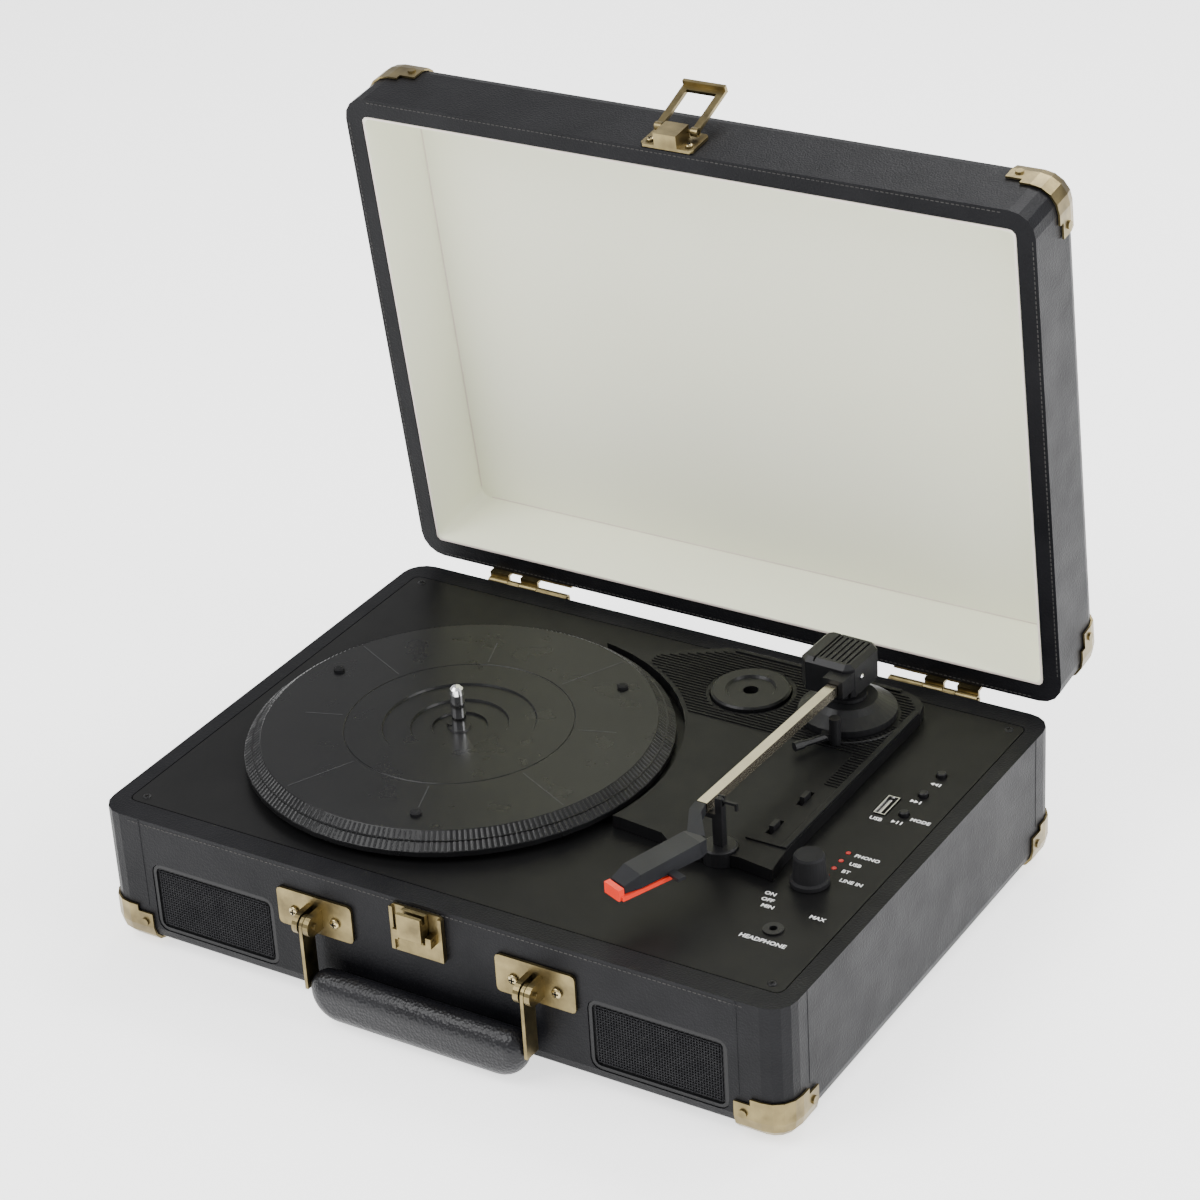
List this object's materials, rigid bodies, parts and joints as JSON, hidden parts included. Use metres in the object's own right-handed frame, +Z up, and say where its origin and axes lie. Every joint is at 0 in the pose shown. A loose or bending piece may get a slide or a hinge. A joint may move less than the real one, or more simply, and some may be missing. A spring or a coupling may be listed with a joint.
{
  "type": "suitcase record player",
  "caption": "Portable electric record player in a black suitcase with brass fittings, hinged cream-lined lid, belt-driven platter, tonearm, speakers and front handle.",
  "frame": {"origin": "centre of the case's underside, at the height of its bottom face, with the rubber feet below it", "axes": "+X to the player's right, +Y toward the hinges at the back, +Z up; the lid at rest stands open at the back edge of the case"},
  "size_m": [0.3594, 0.3247, 0.3502],
  "materials": {
    "leatherette": "satin fine-grain leatherette over board",
    "lining": "smooth off-white sheet",
    "deck": "satin black",
    "brass": "antique brass plate",
    "black_plastic": "fine textured",
    "platter_plastic": "satin with textured rim",
    "headshell_plastic": "satin dark grey",
    "grille_cloth": "woven mesh",
    "spindle_chrome": "polished",
    "steel": "plated",
    "rubber": "matte",
    "tube_aluminium": "champagne anodised",
    "red_plastic": "glossy",
    "grip_leather": "padded grained leather"
  },
  "bodies": {
    "base": {"base_case": "leatherette", "deck_plate": "deck", "turntable_chassis": "black_plastic", "spindle": "spindle_chrome", "drive_motor": "steel", "main_board": "black_plastic", "speaker_left": "black_plastic", "speaker_right": "black_plastic", "speaker_grille_left": "grille_cloth", "speaker_grille_right": "grille_cloth", "usb_socket": "steel", "headphone_socket": "black_plastic", "indicator_lights": "red_plastic", "foot_front_left": "rubber", "foot_front_right": "rubber", "foot_back_left": "rubber", "foot_back_right": "rubber", "base_cap_front_left": "brass", "base_cap_front_right": "brass", "base_cap_back_left": "brass", "base_cap_back_right": "brass", "handle_plate_left": "brass", "handle_plate_right": "brass", "base_hinge_leaf_left": "brass", "base_hinge_leaf_right": "brass", "latch_catch_plate": "brass", "rear_jack_panel": "black_plastic", "arm_rest": "black_plastic", "arm_pivot_base": "black_plastic", "drive_belt": "rubber"},
    "lid": {"lid_shell": "leatherette", "lid_lining": "lining", "lid_cap_front_left": "brass", "lid_cap_front_right": "brass", "lid_cap_back_left": "brass", "lid_cap_back_right": "brass", "lid_hinge_leaf_left": "brass", "lid_hinge_leaf_right": "brass", "lid_latch_plate": "brass"},
    "latch_bail": {"latch_bail": "brass"},
    "latch_lever": {"latch_lever": "brass"},
    "handle": {"handle_grip": "grip_leather", "handle_strap_left": "brass", "handle_strap_right": "brass"},
    "platter": {"platter": "platter_plastic"},
    "motor_pulley": {"motor_pulley": "black_plastic"},
    "arm_turret": {"arm_turret": "black_plastic"},
    "tonearm": {"arm_housing": "black_plastic", "arm_tube": "tube_aluminium", "headshell": "headshell_plastic", "stylus": "red_plastic"},
    "volume_knob": {"volume_knob": "rubber"},
    "button_1": {"button_1": "black_plastic"},
    "button_2": {"button_2": "black_plastic"},
    "button_3": {"button_3": "black_plastic"},
    "cue_lever": {"cue_lever": "black_plastic"},
    "speed_switch": {"speed_switch": "black_plastic"},
    "stop_switch": {"stop_switch": "black_plastic"},
    "adaptor_45": {"adaptor_45": "black_plastic"},
    "arm_clip": {"arm_clip": "black_plastic"}
  },
  "joints": [
    {"name": "lid_hinge", "type": "hinge", "parent": "base", "child": "lid", "pos_m": [0, 0.135, 0.063], "axis": [1, 0, 0], "range_deg": [0, 82.5]},
    {"name": "bail_pivot", "type": "hinge", "parent": "lid", "child": "latch_bail", "pos_m": [-0.002, 0.11562, 0.33278], "axis": [1, 0, 0], "range_deg": [0, 120]},
    {"name": "latch_lever_pivot", "type": "hinge", "parent": "base", "child": "latch_lever", "pos_m": [-0.002, -0.1346, 0.052], "axis": [1, 0, 0], "range_deg": [0, 90]},
    {"name": "handle_pivot", "type": "hinge", "parent": "base", "child": "handle", "pos_m": [0, -0.1385, 0.044], "axis": [-1, 0, 0], "range_deg": [0, 90]},
    {"name": "platter_spin", "type": "hinge", "parent": "base", "child": "platter", "pos_m": [-0.0575, -0.011, 0.076], "axis": [0, 0, 1], "continuous": true},
    {"name": "pulley_spin", "type": "hinge", "parent": "base", "child": "motor_pulley", "pos_m": [-0.0938, 0.0669, 0.074], "axis": [0, 0, 1], "continuous": true},
    {"name": "tonearm_swing", "type": "hinge", "parent": "base", "child": "arm_turret", "pos_m": [0.0945, 0.084, 0.092], "axis": [0, 0, -1], "range_deg": [0, 40]},
    {"name": "tonearm_lift", "type": "hinge", "parent": "arm_turret", "child": "tonearm", "pos_m": [0.0945, 0.084, 0.092], "axis": [-0.9995, 0.0332, 0], "range_deg": [0, 2.5]},
    {"name": "volume_turn", "type": "hinge", "parent": "base", "child": "volume_knob", "pos_m": [0.141, -0.04, 0.074], "axis": [0, 0, -1], "range_deg": [0, 280]},
    {"name": "cue_lever_turn", "type": "hinge", "parent": "base", "child": "cue_lever", "pos_m": [0.102, 0.0575, 0.076], "axis": [0, 0, 1], "range_deg": [0, 25]},
    {"name": "speed_switch_slide", "type": "slide", "parent": "base", "child": "speed_switch", "axis": [0, 1, 0], "range_m": [-0.0025, 0.0025]},
    {"name": "stop_switch_slide", "type": "slide", "parent": "base", "child": "stop_switch", "axis": [0, 1, 0], "range_m": [-0.0025, 0.0025]},
    {"name": "adaptor_lift_off", "type": "slide", "parent": "base", "child": "adaptor_45", "axis": [0, 0, 1], "range_m": [0, 0.024]},
    {"name": "arm_clip_pivot", "type": "hinge", "parent": "base", "child": "arm_clip", "pos_m": [0.0985, -0.041, 0.0966], "axis": [0, -1, 0], "range_deg": [0, 170]},
    {"name": "button_1_press", "type": "slide", "parent": "base", "child": "button_1", "axis": [0, 0, -1], "range_m": [0, 0.001], "stiffness_N_per_m": 400},
    {"name": "button_2_press", "type": "slide", "parent": "base", "child": "button_2", "axis": [0, 0, -1], "range_m": [0, 0.001], "stiffness_N_per_m": 400},
    {"name": "button_3_press", "type": "slide", "parent": "base", "child": "button_3", "axis": [0, 0, -1], "range_m": [0, 0.001], "stiffness_N_per_m": 400}
  ],
  "couplings": [
    {"joint": "pulley_spin", "follows": "platter_spin", "ratio": 17.5}
  ]
}
